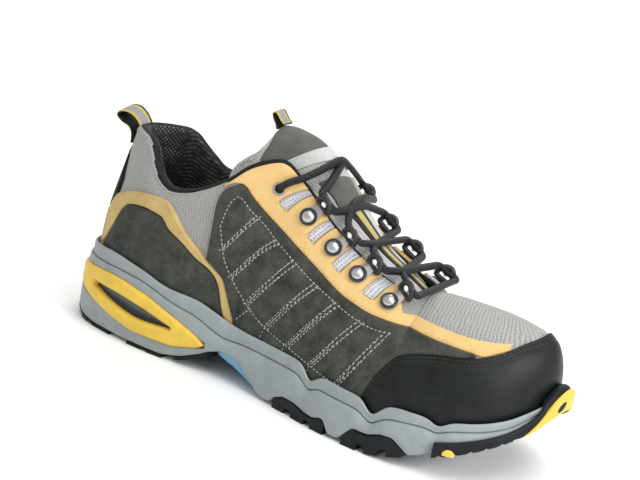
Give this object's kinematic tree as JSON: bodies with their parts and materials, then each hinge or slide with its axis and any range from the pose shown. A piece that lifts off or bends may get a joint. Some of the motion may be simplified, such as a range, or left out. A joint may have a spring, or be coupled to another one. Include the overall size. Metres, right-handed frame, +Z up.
{
  "type": "safety shoe",
  "caption": "Low-cut lace-up safety shoe: hollow mesh and suede upper with a black toe cap, padded tongue, ringed eyelets and a cup midsole on rubber tread pods.",
  "frame": {"origin": "middle of the shoe's box in plan, on the floor plane under the tread", "axes": "+X towards the toe, +Y towards the medial side, +Z up"},
  "size_m": [0.3037, 0.108, 0.1485],
  "materials": {
    "mesh_grey": "woven mesh, matt",
    "tongue_grey": "woven mesh, matt",
    "suede_charcoal": "suede with a soft nap",
    "nubuck_yellow": "nubuck, matt",
    "leather_black": "smooth grain, satin",
    "midsole_grey": "moulded foam, satin",
    "insert_yellow": "moulded foam, satin",
    "rubber_black": "moulded rubber, matt",
    "shank_blue": "moulded plastic",
    "footbed_black": "textile foot bed, matt",
    "clip_steel": "plated steel",
    "ring_steel": "dark plated wire",
    "lace_black": "braided cord",
    "webbing_black": "woven webbing"
  },
  "bodies": {
    "root": {"midsole": "midsole_grey", "heel_insert": "insert_yellow", "slot_back_lateral": "rubber_black", "slot_back_medial": "rubber_black", "outsole_heel_rear": "rubber_black", "outsole_heel_middle": "rubber_black", "outsole_heel_front": "rubber_black", "outsole_waist_pod": "rubber_black", "outsole_ball_pod": "rubber_black", "outsole_toe_pod": "rubber_black", "toe_bumper": "rubber_black", "toe_tread_insert": "insert_yellow", "arch_shank": "shank_blue", "insole": "footbed_black", "upper": "mesh_grey", "toe_cap": "leather_black", "counter_trim": "nubuck_yellow", "counter_panel_lateral": "suede_charcoal", "counter_panel_medial": "suede_charcoal", "heel_strip": "leather_black", "quarter_panel_lateral": "suede_charcoal", "quarter_panel_medial": "suede_charcoal", "eyestay_lateral": "nubuck_yellow", "eyestay_medial": "nubuck_yellow", "tongue": "tongue_grey", "eyelet_clip_lateral_1": "clip_steel", "eyelet_rivet_lateral_1": "clip_steel", "eyelet_ring_lateral_1": "ring_steel", "eyelet_clip_lateral_2": "clip_steel", "eyelet_rivet_lateral_2": "clip_steel", "eyelet_ring_lateral_2": "ring_steel", "eyelet_clip_lateral_3": "clip_steel", "eyelet_rivet_lateral_3": "clip_steel", "eyelet_ring_lateral_3": "ring_steel", "eyelet_clip_lateral_4": "clip_steel", "eyelet_rivet_lateral_4": "clip_steel", "eyelet_ring_lateral_4": "ring_steel", "eyelet_clip_medial_1": "clip_steel", "eyelet_rivet_medial_1": "clip_steel", "eyelet_ring_medial_1": "ring_steel", "eyelet_clip_medial_2": "clip_steel", "eyelet_rivet_medial_2": "clip_steel", "eyelet_ring_medial_2": "ring_steel", "eyelet_clip_medial_3": "clip_steel", "eyelet_rivet_medial_3": "clip_steel", "eyelet_ring_medial_3": "ring_steel", "eyelet_clip_medial_4": "clip_steel", "eyelet_rivet_medial_4": "clip_steel", "eyelet_ring_medial_4": "ring_steel", "lace_bar": "lace_black", "lace_crossing_1": "lace_black", "lace_crossing_2": "lace_black", "lace_crossing_3": "lace_black", "lace_crossing_4": "lace_black", "heel_loop": "webbing_black", "tongue_loop": "webbing_black"}
  },
  "joints": []
}
